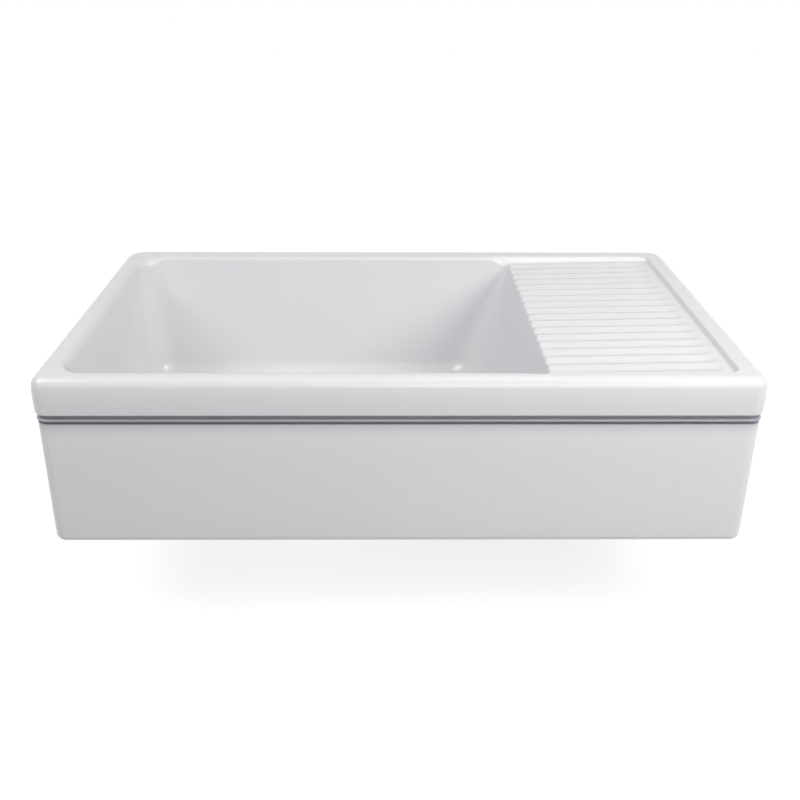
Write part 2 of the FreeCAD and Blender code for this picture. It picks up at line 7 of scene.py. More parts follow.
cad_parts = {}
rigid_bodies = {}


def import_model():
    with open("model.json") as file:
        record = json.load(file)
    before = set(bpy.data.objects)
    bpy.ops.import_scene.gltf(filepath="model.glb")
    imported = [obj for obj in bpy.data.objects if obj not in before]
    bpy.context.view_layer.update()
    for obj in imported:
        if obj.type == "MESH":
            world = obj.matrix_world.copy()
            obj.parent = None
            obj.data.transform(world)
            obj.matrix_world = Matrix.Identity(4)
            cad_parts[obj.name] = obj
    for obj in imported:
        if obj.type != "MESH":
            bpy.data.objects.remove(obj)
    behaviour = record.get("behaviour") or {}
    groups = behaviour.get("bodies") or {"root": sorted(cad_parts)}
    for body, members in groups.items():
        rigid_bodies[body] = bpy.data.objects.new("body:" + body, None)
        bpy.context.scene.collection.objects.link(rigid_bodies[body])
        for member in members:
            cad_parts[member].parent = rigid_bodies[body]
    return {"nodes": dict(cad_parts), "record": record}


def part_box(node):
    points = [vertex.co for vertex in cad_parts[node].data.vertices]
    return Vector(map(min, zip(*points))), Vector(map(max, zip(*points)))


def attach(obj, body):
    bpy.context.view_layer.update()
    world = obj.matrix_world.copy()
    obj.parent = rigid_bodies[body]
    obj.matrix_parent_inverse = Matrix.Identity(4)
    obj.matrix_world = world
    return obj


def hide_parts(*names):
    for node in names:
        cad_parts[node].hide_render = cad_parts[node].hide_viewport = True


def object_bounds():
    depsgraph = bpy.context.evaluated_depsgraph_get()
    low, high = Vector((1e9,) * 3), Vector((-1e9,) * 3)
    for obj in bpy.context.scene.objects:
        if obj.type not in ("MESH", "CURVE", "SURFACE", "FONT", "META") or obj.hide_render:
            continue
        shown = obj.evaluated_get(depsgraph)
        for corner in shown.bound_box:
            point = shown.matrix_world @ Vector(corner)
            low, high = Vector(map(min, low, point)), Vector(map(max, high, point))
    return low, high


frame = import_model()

scene = bpy.context.scene
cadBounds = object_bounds()


# Helpers

def lerp(a, b, t):
    return a + (b - a) * t


def smooth(t):
    t = min(max(t, 0.0), 1.0)
    return t * t * (3 - 2 * t)


def spread(start, end, step):
    # evenly spaced values from start to end, both included
    count = max(1, round(abs(end - start) / step))
    return [lerp(start, end, i / count) for i in range(count + 1)]


def graded(start, *stretches):
    # values from start through (end, step) stretches
    values = [start]
    for end, step in stretches:
        values += spread(values[-1], end, step)[1:]
    return values


def makeMesh(name, points, faces, sharpAngle=50):
    mesh = bpy.data.meshes.new(name)
    mesh.from_pydata(points, [], faces)
    mesh.shade_smooth()
    mesh.set_sharp_from_angle(angle=math.radians(sharpAngle))
    piece = bpy.data.objects.new(name, mesh)
    scene.collection.objects.link(piece)
    return piece


def roundedLine(corners, steps):
    # points along a line of (u, v, radius) corners, the radii drawn as arcs
    points = []
    last = len(corners) - 1
    for i, (u, v, radius) in enumerate(corners):
        here = Vector((u, v))
        if radius == 0 or i in (0, last):
            points.append((u, v))
            continue
        before = (Vector(corners[i - 1][:2]) - here).normalized()
        after = (Vector(corners[i + 1][:2]) - here).normalized()
        half = before.angle(after) / 2
        reach = radius / math.tan(half)
        start = here + before * reach
        end = here + after * reach
        weight = math.sin(half)
        for j in range(steps + 1):
            t = j / steps
            a, b, c = (1 - t) ** 2, 2 * t * (1 - t) * weight, t * t
            point = (start * a + here * b + end * c) / (a + b + c)
            points.append((point.x, point.y))
    return points


class Builder:
    # collects the points and faces of one mesh
    def __init__(self):
        self.points = []
        self.faces = []

    def add(self, x, y, z):
        self.points.append((x, y, z))
        return len(self.points) - 1

    def bridge(self, rowA, rowB, closed=True):
        # faces between two rows of points, facing to the left of rowA seen from rowB
        count = len(rowA)
        for i in range(count if closed else count - 1):
            j = (i + 1) % count
            quad = []
            for point in (rowA[i], rowA[j], rowB[j], rowB[i]):
                if point not in quad:
                    quad.append(point)
            if len(quad) > 2:
                self.faces.append(quad)


# Glazed body

_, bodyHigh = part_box("sink_body")
strainerLow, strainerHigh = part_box("strainer_body")

glazedBody = {
    # lip and trim, from the top down
    "rimRadius": 0.014,
    "lipHeight": 0.0503,
    "lipWidest": 0.024,     # this far below the top
    "lipLean": 0.0016,
    "lipProud": 0.0003,
    "lipTuck": 0.0004,
    "lipCurve": 0.15,
    "lipUnderRadius": 0.002,
    "frontCorner": 0.018,
    "backCorner": 0.030,
    "overhang": 0.0026,
    "grooveInset": 0.0080,
    "upperGroove": 0.0055,
    "lowerGroove": 0.0030,
    "grooveRadius": 0.0008,
    "beadInset": 0.0015,
    "beadHeight": 0.0040,
    "beadRadius": 0.0019,
    "apronEdge": 0.0010,
    "footRadius": 0.011,
    # bowl: three sides are set in from the lip's outer planes, and the right one is an x
    "bowlLeft": 0.033,
    "bowlFront": 0.027,
    "bowlBack": 0.042,
    "bowlRight": 0.191,
    "bowlDepth": 0.217,
    "draft": math.radians(1.7),
    "rightDraft": math.radians(16.7),
    "bowlCorner": 0.038,
    "rightCornerHigh": 0.010,
    "rightCornerLow": 0.050,
    "bowlFillet": 0.032,
    "floorFall": 0.003,
    # rounding from the rim down into the bowl
    "leftRim": 0.015,
    "bowlRim": 0.010,
    "backRim": 0.005,
    "scallopRim": 0.004,
    "rimTurn": 1.4,         # how soon a corner takes up its side's rounding
    # drainboard
    "boardRight": 0.033,
    "boardFront": 0.0248,
    "boardBack": 0.0383,
    "boardHigh": 0.0055,
    "boardLow": 0.010,
    "boardCorner": 0.012,
    "stepWidth": 0.0042,
    "ledgeStart": 0.160,
    "ledgeEnd": 0.184,
    "fluteCount": 17,
    "fluteDepth": 0.0026,
    "fluteFadeStart": 0.398,
    "fluteFadeEnd": 0.416,
    "fluteEdgeFade": 0.3,   # in flute widths
    # drain
    "seatRadius": 0.059,
    "seatDepth": 0.0035,
    "seatLip": 0.0015,
    "seatEdge": 0.0012,
    "seatFoot": 0.0008,
    "holeRadius": 0.045,
    "holeEdge": 0.0012,
    "recessDepth": 0.008,
}

g = glazedBody
topZ = bodyHigh.z
halfWidth = bodyHigh.x
halfDepth = bodyHigh.y
drain = Vector(((strainerLow.x + strainerHigh.x) / 2, (strainerLow.y + strainerHigh.y) / 2))
floorZ = topZ - g["bowlDepth"]
boardLowZ = topZ - g["boardLow"]
boardRightX = halfWidth - g["boardRight"]
boardFrontY = -halfDepth + g["boardFront"]
boardBackY = halfDepth - g["boardBack"]
boardSlope = (g["boardLow"] - g["boardHigh"]) / (boardRightX - g["bowlRight"])
flutePitch = (boardBackY - boardFrontY) / (g["fluteCount"] + 1)


def boardPocket(x, y):
    # 0 on the rim, 1 on the drainboard
    radius = g["boardCorner"]
    left = g["ledgeStart"] - halfWidth
    qx = abs(x - (left + boardRightX) / 2) - (boardRightX - left) / 2 + radius
    qy = abs(y - (boardFrontY + boardBackY) / 2) - (boardBackY - boardFrontY) / 2 + radius
    inside = radius - math.hypot(max(qx, 0), max(qy, 0)) - min(max(qx, qy), 0)
    ledge = smooth((x - g["ledgeStart"]) / (g["ledgeEnd"] - g["ledgeStart"]))
    return smooth(inside / g["stepWidth"] + 0.5) * ledge


def fluteDrop(x, y):
    # how far the reeded surface lies below its crests
    place = (y - boardFrontY) / flutePitch
    off = abs(2 * (place % 1) - 1)
    wave = 0.5 - 0.5 * math.cos(math.pi * off)
    run = g["fluteFadeEnd"] - g["fluteFadeStart"]
    fade = smooth((g["fluteFadeEnd"] - x) / run)
    fromEdge = min(place, g["fluteCount"] + 1 - place)
    edge = smooth((fromEdge - 0.5) / g["fluteEdgeFade"])
    return g["fluteDepth"] * wave * fade * edge


def topSurface(x, y):
    # height of the rim and of the drainboard
    pocket = boardPocket(x, y)
    if pocket == 0:
        return topZ
    drop = g["boardLow"] - boardSlope * (x - g["bowlRight"])
    return topZ - pocket * (drop + fluteDrop(x, y))


def bowlSides(z):
    # left, right, front and back of the bowl at height z
    lean = (topZ - z) * math.tan(g["draft"])
    return (
        -halfWidth + g["bowlLeft"] + lean,
        g["bowlRight"] - (boardLowZ - z) * math.tan(g["rightDraft"]),
        -halfDepth + g["bowlFront"] + lean,
        halfDepth - g["bowlBack"] - lean)


def bowlRadii(z):
    # plan radii of the bowl's left and right corners at height z
    fall = (boardLowZ - z) / (boardLowZ - floorZ)
    return g["bowlCorner"], lerp(g["rightCornerHigh"], g["rightCornerLow"], fall)


def grown(sides, amount):
    # the four sides, moved outwards
    left, right, front, back = sides
    return left - amount, right + amount, front - amount, back + amount


def ringPlan(right, back, left, front, coarse, fine):
    # one (part, place) entry per point of a rounded rectangle, anticlockwise from the right
    plan = [("right", t) for t in right] + [("backRight", a) for a in fine[1:-1]]
    plan += [("back", t) for t in back] + [("backLeft", a) for a in coarse[1:-1]]
    plan += [("left", t) for t in left] + [("frontLeft", a) for a in coarse[1:-1]]
    return plan + [("front", t) for t in front] + [("frontRight", a) for a in fine[1:-1]]


def ringPoint(entry, sides, radii):
    # place and outward direction of one entry
    left, right, front, back = sides
    atLeft, atRight = radii
    part, t = entry
    if part == "right":
        return Vector((right, lerp(front + atRight, back - atRight, t))), Vector((1, 0))
    if part == "back":
        return Vector((lerp(right - atRight, left + atLeft, t), back)), Vector((0, 1))
    if part == "left":
        return Vector((left, lerp(back - atLeft, front + atLeft, t))), Vector((-1, 0))
    if part == "front":
        return Vector((lerp(left + atLeft, right - atRight, t), front)), Vector((0, -1))
    c, s = math.cos(t), math.sin(t)
    out = {
        "backRight": (c, s), "backLeft": (-s, c),
        "frontLeft": (-c, -s), "frontRight": (s, -c)}[part]
    radius = atRight if part.endswith("Right") else atLeft
    centreX = right - radius if part.endswith("Right") else left + radius
    centreY = back - radius if part.startswith("back") else front + radius
    return Vector((centreX + out[0] * radius, centreY + out[1] * radius)), Vector(out)


# Rows of the bowl's ring: denser in the part of a corner that meets the rim's plan rounding
longRows = 56
endRows = 40
denseFrom = 35      # degrees round a corner
denseTo = 55
coarseTurn = 5      # degrees a step
denseTurn = 1.25
fineTurn = 2
linesPerFlute = 12
lineGap = 0.3       # a flute's line this near a corner is left out, in line steps


def fluteLines():
    # places along the bowl's right side that follow the flutes
    sides = bowlSides(boardLowZ)
    start = sides[2] + g["rightCornerHigh"]
    end = sides[3] - g["rightCornerHigh"]
    step = flutePitch / linesPerFlute
    first = math.ceil((start - boardFrontY) / step + lineGap)
    last = math.floor((end - boardFrontY) / step - lineGap)
    inner = [(boardFrontY + i * step - start) / (end - start) for i in range(first, last + 1)]
    return [0.0] + inner + [1.0]


longSide = spread(0, 1, 1 / longRows)
cornerStretches = graded(0, (denseFrom, coarseTurn), (denseTo, denseTurn), (90, coarseTurn))
coarseAngles = [math.radians(a) for a in cornerStretches]
fineAngles = [math.radians(a) for a in spread(0, 90, fineTurn)]
bowlPlan = ringPlan(
    fluteLines(), longSide, spread(0, 1, 1 / endRows), longSide, coarseAngles, fineAngles)
ringCount = len(bowlPlan)
settleRounds = 6
wallProbe = 0.05    # the wall's direction is read this far down


def rimBlend(entry):
    # the rounding from the top surface down into the bowl's wall: corner, both ends and weight
    z = topZ
    for _ in range(settleRounds):
        place, out = ringPoint(entry, bowlSides(z), bowlRadii(z))
        z = topSurface(place.x, place.y)
    place, out = ringPoint(entry, bowlSides(z), bowlRadii(z))
    lowZ = z - wallProbe
    lower, _ = ringPoint(entry, bowlSides(lowZ), bowlRadii(lowZ))
    corner = Vector((place.x, place.y, z))
    down = (Vector((lower.x, lower.y, lowZ)) - corner).normalized()
    side = Vector((out.x, out.y, 0))
    half = side.angle(down) / 2
    along = g["backRim"] if out.y > 0 else g["bowlRim"]
    across = g["scallopRim"] if out.x > 0 else g["leftRim"]
    radius = lerp(along, across, smooth(abs(out.x) * g["rimTurn"]))
    reach = radius / math.tan(half)
    return corner, corner + side * reach, corner + down * reach, math.sin(half)


def blendPoint(corner, start, end, weight, t):
    # a point of the rounding, from the top surface at 0 to the wall at 1
    a, b, c = (1 - t) ** 2, 2 * t * (1 - t) * weight, t * t
    point = (start * a + corner * b + end * c) / (a + b + c)
    lift = (topSurface(point.x, point.y) - corner.z) * (1 - t) ** 2
    return point.x, point.y, point.z + lift


body = Builder()
blends = [rimBlend(entry) for entry in bowlPlan]

# Bowl, from the rim's rounding down to the drain's hole
blendSteps = 10
wallSteps = 12
footSteps = 10
dishSteps = 8
rings = []
for i in range(blendSteps + 1):
    rings.append([body.add(*blendPoint(*blend, i / blendSteps)) for blend in blends])
footZ = floorZ + g["floorFall"] + g["bowlFillet"]
for i in range(1, wallSteps + 1):
    row = []
    for k, entry in enumerate(bowlPlan):
        z = lerp(blends[k][2].z, footZ, i / wallSteps)
        place, _ = ringPoint(entry, bowlSides(z), bowlRadii(z))
        row.append(body.add(place.x, place.y, z))
    rings.append(row)
for i in range(1, footSteps + 1):
    angle = math.pi / 2 * i / footSteps
    z = footZ - g["bowlFillet"] * math.sin(angle)
    inset = g["bowlFillet"] * (1 - math.cos(angle))
    radii = [radius - inset for radius in bowlRadii(z)]
    sides = grown(bowlSides(z), -inset)
    footRing = [ringPoint(entry, sides, radii)[0] for entry in bowlPlan]
    rings.append([body.add(place.x, place.y, z) for place in footRing])
toDrain = [(place - drain).normalized() for place in footRing]
dishRadius = g["seatRadius"] + g["seatLip"]
for i in range(1, dishSteps + 1):
    t = i / dishSteps
    row = []
    for k, place in enumerate(footRing):
        p = place.lerp(drain + toDrain[k] * dishRadius, t)
        row.append(body.add(p.x, p.y, floorZ + g["floorFall"] * (1 - t)))
    rings.append(row)
seatZ = floorZ - g["seatDepth"]
smallArc = 4
drainLine = roundedLine([
    (dishRadius, floorZ, 0), (g["seatRadius"], floorZ, g["seatEdge"]),
    (g["seatRadius"], seatZ, g["seatFoot"]), (g["holeRadius"], seatZ, g["holeEdge"]),
    (g["holeRadius"], g["recessDepth"], 0)], smallArc)[1:]
for radius, z in drainLine:
    rings.append([body.add(drain.x + n.x * radius, drain.y + n.y * radius, z) for n in toDrain])
for outerRing, innerRing in zip(rings, rings[1:]):
    body.bridge(outerRing, innerRing)

# Outer profile as (inset, height), from the rim's rounding down to the base
lipBottom = topZ - g["lipHeight"]
beadTop = lipBottom - g["upperGroove"]
beadBottom = beadTop - g["beadHeight"]
apronTop = beadBottom - g["lowerGroove"]
skinArc = 8
apronRows = (0.5, 0.25)     # extra rows down the apron, as shares of the height
skinLine = roundedLine([
    (2 * g["rimRadius"], topZ, 0), (g["lipLean"], topZ, g["rimRadius"]),
    (-g["lipProud"], topZ - g["lipWidest"], g["lipCurve"]),
    (g["lipTuck"], lipBottom, g["lipUnderRadius"]),
    (g["grooveInset"], lipBottom, g["grooveRadius"]),
    (g["grooveInset"], beadTop, g["grooveRadius"]),
    (g["beadInset"], beadTop, g["beadRadius"]),
    (g["beadInset"], beadBottom, g["beadRadius"]),
    (g["grooveInset"], beadBottom, g["grooveRadius"]),
    (g["grooveInset"], apronTop, g["grooveRadius"]),
    (g["overhang"], apronTop, g["apronEdge"]),
    *[(g["overhang"], topZ * share, 0) for share in apronRows],
    (g["overhang"], 0, g["footRadius"]), (2 * g["footRadius"], 0, 0)], skinArc)[1:-1]

# Rim strip round the left part, from the bowl's rounding to the outer rounding
rimInset = skinLine[0][0]
outerX = halfWidth - rimInset
outerY = halfDepth - rimInset
stripSteps = 12
firstBack = bowlPlan.index(("back", 0.0))
lastFront = bowlPlan.index(("front", 1.0))


def rimCorner(y):
    # centre and plan radius of the top's outer corner on the side of y
    radius = (g["backCorner"] if y > 0 else g["frontCorner"]) - rimInset
    return outerX - radius, outerY - radius, radius


def outerTarget(k):
    # where entry k of the bowl's ring meets the outer rounding
    part, t = bowlPlan[k]
    start = blends[k][1]
    if part == "back":
        return start.x, outerY
    if part == "left":
        return -outerX, start.y
    if part == "front":
        return start.x, -outerY
    atBack = part == "backLeft"
    side = 1 if atBack else -1
    degrees = 90 - math.degrees(t) if atBack else math.degrees(t)
    turn = math.radians((degrees - denseFrom) / (denseTo - denseFrom) * 90)
    centreX, centreY, radius = rimCorner(side)
    sideEntry = ("left", 0.0 if atBack else 1.0)
    sideEnd = ringPoint(sideEntry, bowlSides(topZ), bowlRadii(topZ))[0].y
    longEnd = ringPoint(("back", 1.0), bowlSides(topZ), bowlRadii(topZ))[0].x
    if degrees <= denseFrom:
        return -outerX, lerp(sideEnd, side * centreY, degrees / denseFrom)
    if degrees >= denseTo:
        return lerp(-centreX, longEnd, (degrees - denseTo) / (90 - denseTo)), side * outerY
    return -centreX - radius * math.cos(turn), side * (centreY + radius * math.sin(turn))


strip = {0: rings[0]}
stripRange = range(firstBack, lastFront + 1)
for j in range(1, stripSteps + 1):
    strip[j] = {}
    for k in stripRange:
        start = blends[k][1]
        x, y = outerTarget(k)
        px = lerp(start.x, x, j / stripSteps)
        py = lerp(start.y, y, j / stripSteps)
        strip[j][k] = body.add(px, py, topSurface(px, py))
for j in range(stripSteps):
    inner = [strip[j][k] for k in stripRange]
    outer = [strip[j + 1][k] for k in stripRange]
    body.bridge(outer, inner, closed=False)

# Drainboard patch: rows along x from the bowl to the outer rounding
joinX = 0.262       # from here on the columns are the same in every row
joinSteps = 26
boardColumns = graded(      # stretches of (end, spacing), closest at the step
    joinX, (0.386, 0.0085), (0.418, 0.002), (0.430, 0.0005), (outerX, 0.001))[1:]
rowKeys = list(range(lastFront, ringCount)) + list(range(0, firstBack + 1))


def roundCorner(x, y):
    # bends the square corner of the patch into the rim's plan rounding
    centreX, centreY, radius = rimCorner(y)
    u = (abs(x) - centreX) / radius
    v = (abs(y) - centreY) / radius
    if u <= 0 or v <= 0:
        return x, y
    reach = max(u, v)
    angle = math.radians(45 * v / u if u >= v else 90 - 45 * u / v)
    return (
        math.copysign(centreX + radius * reach * math.cos(angle), x),
        math.copysign(centreY + radius * reach * math.sin(angle), y))


def patchRow(startX, y, first):
    # one row of the patch, from a point that is already there
    row = [first]
    places = [lerp(startX, joinX, i / joinSteps) for i in range(1, joinSteps + 1)] + boardColumns
    for x in places:
        px, py = roundCorner(x, y)
        row.append(body.add(px, py, topSurface(px, py)))
    return row


def edgeRows(k, side):
    # rows between the bowl's rounding and the outer edge, from the outside in
    start = blends[k][1]
    rows = []
    for j in range(stripSteps, 0, -1):
        y = lerp(start.y, side * outerY, j / stripSteps)
        rows.append(patchRow(start.x, y, strip[j][k]))
    return rows


patchRows = edgeRows(lastFront, -1)
patchRows += [patchRow(blends[k][1].x, blends[k][1].y, rings[0][k]) for k in rowKeys]
patchRows += edgeRows(firstBack, 1)[::-1]
for lower, upper in zip(patchRows, patchRows[1:]):
    body.bridge(lower, upper, closed=False)

# Outer skin, from the rim's rounding down to the base
outerLoop = patchRows[0] + [row[-1] for row in patchRows[1:-1]] + patchRows[-1][::-1]
outerLoop += [strip[stripSteps][k] for k in range(firstBack + 1, lastFront)]


tiny = 1e-7


def outward(point):
    # the way the skin faces at a point of the outer loop
    x, y, _ = point
    centreX, centreY, radius = rimCorner(y)
    u = abs(x) - centreX
    v = abs(y) - centreY
    if u > tiny and v > tiny:
        return Vector((math.copysign(u, x), math.copysign(v, y))).normalized()
    if v >= radius - 10 * tiny:
        return Vector((0, math.copysign(1, y)))
    return Vector((math.copysign(1, x), 0))


outs = [outward(body.points[i]) for i in outerLoop]
starts = [Vector(body.points[i][:2]) for i in outerLoop]
upper = outerLoop
for inset, z in skinLine[1:]:
    shift = rimInset - inset
    lower = [
        body.add(start.x + out.x * shift, start.y + out.y * shift, z)
        for start, out in zip(starts, outs)]
    body.bridge(lower, upper)
    upper = lower
baseRing = [body.points[i] for i in upper]

glazed = makeMesh("glazed_body", body.points, body.faces)
print("glazed body:", len(body.points), "points,", len(body.faces), "faces")


# Unglazed underside: the foot, the hollow below the drainboard and the recess round the drain

underside = {
    "recessRadius": 0.075,
    "recessMouth": 0.003,
    "recessEdge": 0.001,
    "wall": 0.022,
    "boardThickness": 0.018,
    "hollowCorner": 0.014,
    "tightestCorner": 0.0006,
    "hollowMouth": ((-0.001, 0), (-0.0003, 0.0003), (0, 0.001)),    # (inset, height)
    "hollowRows": (0.05, 0.1, 0.15, 0.185),     # heights
}

h = underside
foot = Builder()
outerFoot = [foot.add(x, y, 0) for x, y, _ in baseRing]

recessSteps = 96
turns = [2 * math.pi * i / recessSteps for i in range(recessSteps)]
recessLine = roundedLine([
    (h["recessRadius"] + h["recessMouth"], 0, 0), (h["recessRadius"], 0, h["recessEdge"]),
    (h["recessRadius"], g["recessDepth"], h["recessEdge"]),
    (g["holeRadius"], g["recessDepth"], 0)], smallArc)[1:]
recessRings = []
for radius, z in recessLine:
    recessRings.append([
        foot.add(drain.x + math.cos(a) * radius, drain.y + math.sin(a) * radius, z)
        for a in turns])
for lower, upper in zip(recessRings, recessRings[1:]):
    foot.bridge(upper, lower)


def hollowRoof(x):
    # height of the drainboard's underside
    return boardLowZ + (x - g["bowlRight"]) * boardSlope - h["boardThickness"]


def hollowSides(z):
    # left, right, front and back of the hollow at height z
    outerInset = g["overhang"] + h["wall"]
    return (
        bowlSides(z)[1] + h["wall"], halfWidth - outerInset,
        outerInset - halfDepth, halfDepth - outerInset)


def hollowPoint(entry, z, inset, radius):
    return ringPoint(entry, grown(hollowSides(z), -inset), [radius, radius])[0]


roofSteps = 8
nearRoof = 0.2          # height at which the roof's columns are laid out
hollowTurn = 11.25      # degrees a step
hollowSideRows = 16
hollowEndRows = 12
hollowAngles = [math.radians(a) for a in spread(0, 90, hollowTurn)]
hollowLong = spread(0, 1, 1 / hollowSideRows)
hollowShort = spread(0, 1, 1 / hollowEndRows)
hollowPlan = ringPlan(
    hollowLong, hollowShort, hollowLong, hollowShort, hollowAngles, hollowAngles)
hollowRings = []
for inset, z in (*h["hollowMouth"], *[(0, height) for height in h["hollowRows"]]):
    radius = h["hollowCorner"] - inset
    hollowRings.append([
        foot.add(*hollowPoint(entry, z, inset, radius), z) for entry in hollowPlan])
for i in range(roofSteps + 1):
    angle = math.pi / 2 * i / roofSteps
    inset = h["hollowCorner"] * (1 - math.cos(angle))
    radius = max(h["hollowCorner"] - inset, h["tightestCorner"])
    row = []
    for entry in hollowPlan:
        x = hollowPoint(entry, nearRoof, inset, radius).x
        z = hollowRoof(x) - h["hollowCorner"] * (1 - math.sin(angle))
        place = hollowPoint(entry, z, inset, radius)
        row.append(foot.add(place.x, place.y, z))
    hollowRings.append(row)
for lower, upper in zip(hollowRings, hollowRings[1:]):
    foot.bridge(upper, lower)
foot.faces.append(hollowRings[-1][::-1])

# The flat underside round the recess and the hollow
loops = [outerFoot, recessRings[0], hollowRings[0]]
flat = [i for loop in loops for i in loop]
edges = []
offset = 0
for loop in loops:
    edges += [(offset + i, offset + (i + 1) % len(loop)) for i in range(len(loop))]
    offset += len(loop)
coordinates = [Vector(foot.points[i][:2]) for i in flat]
insideOnly = 1
_, _, triangles, origins, _, _ = delaunay_2d_cdt(coordinates, edges, [], insideOnly, tiny)


def insidePolygon(x, y, loop):
    # whether a place lies within a loop of the foot's points
    inside = False
    for i, j in zip(loop, loop[-1:] + loop[:-1]):
        xa, ya = foot.points[i][:2]
        xb, yb = foot.points[j][:2]
        if (ya > y) != (yb > y) and x < (xb - xa) * (y - ya) / (yb - ya) + xa:
            inside = not inside
    return inside


for triangle in triangles:
    corners = [flat[origins[i][0]] for i in triangle]
    x = sum(foot.points[i][0] for i in corners) / 3
    y = sum(foot.points[i][1] for i in corners) / 3
    if not insidePolygon(x, y, recessRings[0]) and not insidePolygon(x, y, hollowRings[0]):
        foot.faces.append(corners[::-1])

bareFoot = makeMesh("bare_foot", foot.points, foot.faces, 35)
print("bare foot:", len(foot.points), "points,", len(foot.faces), "faces")

for piece in (glazed, bareFoot):
    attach(piece, "sink")
    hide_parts("sink_body")


# Shader building blocks

class Shader:
    # a small writer of node trees: calls return output sockets
    def __init__(self, tree):
        self.nodes = tree.nodes
        self.links = tree.links

    def node(self, kind, settings=None, inputs=None):
        made = self.nodes.new(kind)
        for key, value in (settings or {}).items():
            setattr(made, key, value)
        for key, value in (inputs or {}).items():
            self.feed(made.inputs[key], value)
        return made

    def feed(self, socket, value):
        if isinstance(value, bpy.types.NodeSocket):
            self.links.new(value, socket)
        else:
            socket.default_value = value

    def math(self, operation, a, b=None, clamp=False):
        made = self.node("ShaderNodeMath", {"operation": operation, "use_clamp": clamp})
        for socket, value in zip(made.inputs, (a, b)):
            if value is not None:
                self.feed(socket, value)
        return made.outputs[0]

    def range(self, value, low, high, toLow, toHigh, kind="LINEAR"):
        made = self.node("ShaderNodeMapRange", {"interpolation_type": kind, "clamp": True})
        for socket, given in zip(made.inputs, (value, low, high, toLow, toHigh)):
            self.feed(socket, given)
        return made.outputs["Result"]

    def mix(self, factor, a, b):
        # sockets 6, 7 and 2 are the node's colour ones
        made = self.node("ShaderNodeMix", {"data_type": "RGBA"})
        self.feed(made.inputs["Factor"], factor)
        self.feed(made.inputs[6], a)
        self.feed(made.inputs[7], b)
        return made.outputs[2]

    def noise(self, vector, scale, detail, roughness=0.5):
        made = self.node("ShaderNodeTexNoise", inputs={
            "Vector": vector, "Scale": scale, "Detail": detail, "Roughness": roughness})
        return made.outputs["Fac"]

    def place(self):
        return self.node("ShaderNodeTexCoord").outputs["Object"]

    def length(self, vector):
        made = self.node("ShaderNodeVectorMath", {"operation": "LENGTH"}, {0: vector})
        return made.outputs["Value"]

    def group(self, group, **inputs):
        made = self.node("ShaderNodeGroup", {"node_tree": group})
        for key, value in inputs.items():
            self.feed(made.inputs[key], value)
        return made.outputs


def newGroup(name, inputs, outputs):
    tree = bpy.data.node_groups.new(name, "ShaderNodeTree")
    for label, kind, value in inputs:
        socket = tree.interface.new_socket(name=label, in_out="INPUT", socket_type=kind)
        socket.default_value = value
    for label, kind in outputs:
        tree.interface.new_socket(name=label, in_out="OUTPUT", socket_type=kind)
    shader = Shader(tree)
    entry = shader.node("NodeGroupInput")
    leave = shader.node("NodeGroupOutput")
    return tree, shader, entry.outputs, leave.inputs


floatKind = "NodeSocketFloat"
toneRange = (0.2, 0.8)      # where most of a mottle's values lie
streakRange = (0.3, 0.7)    # and most of a turned metal's streaks


def makeMottle():
    # slow and fine variation between 0 and 1
    tree, s, given, wanted = newGroup(
        "mottle",
        [("scale", floatKind, 20.0), ("contrast", floatKind, 1.0)],
        [("value", floatKind)])
    finerBy, broadShare, fineShare = 7.3, 0.65, 0.35
    where = s.place()
    broad = s.noise(where, given["scale"], detail=2.0)
    fineScale = s.math("MULTIPLY", given["scale"], finerBy)
    fine = s.noise(where, fineScale, detail=4.0, roughness=0.6)
    both = s.math(
        "ADD", s.math("MULTIPLY", broad, broadShare), s.math("MULTIPLY", fine, fineShare))
    centred = s.math("MULTIPLY", s.math("SUBTRACT", both, 0.5), given["contrast"])
    s.feed(wanted["value"], s.math("ADD", centred, 0.5, clamp=True))
    return tree


def makeGrain():
    # fine even roughness of cast, moulded or fired surfaces
    tree, s, given, wanted = newGroup(
        "grain",
        [("scale", floatKind, 900.0), ("pits", floatKind, 0.3)],
        [("height", floatKind)])
    where = s.place()
    pitFloor, pitEdge = 0.05, 0.4       # distances from a cell's middle
    rough = s.noise(where, given["scale"], detail=5.0, roughness=0.65)
    cells = s.node(
        "ShaderNodeTexVoronoi", {"feature": "F1"}, {"Vector": where, "Scale": given["scale"]})
    distance = cells.outputs["Distance"]
    pitDepth = s.range(distance, pitFloor, pitEdge, 1.0, 0.0, "SMOOTHSTEP")
    sunk = s.math("MULTIPLY", pitDepth, given["pits"])
    s.feed(wanted["height"], s.math("SUBTRACT", rough, sunk))
    return tree


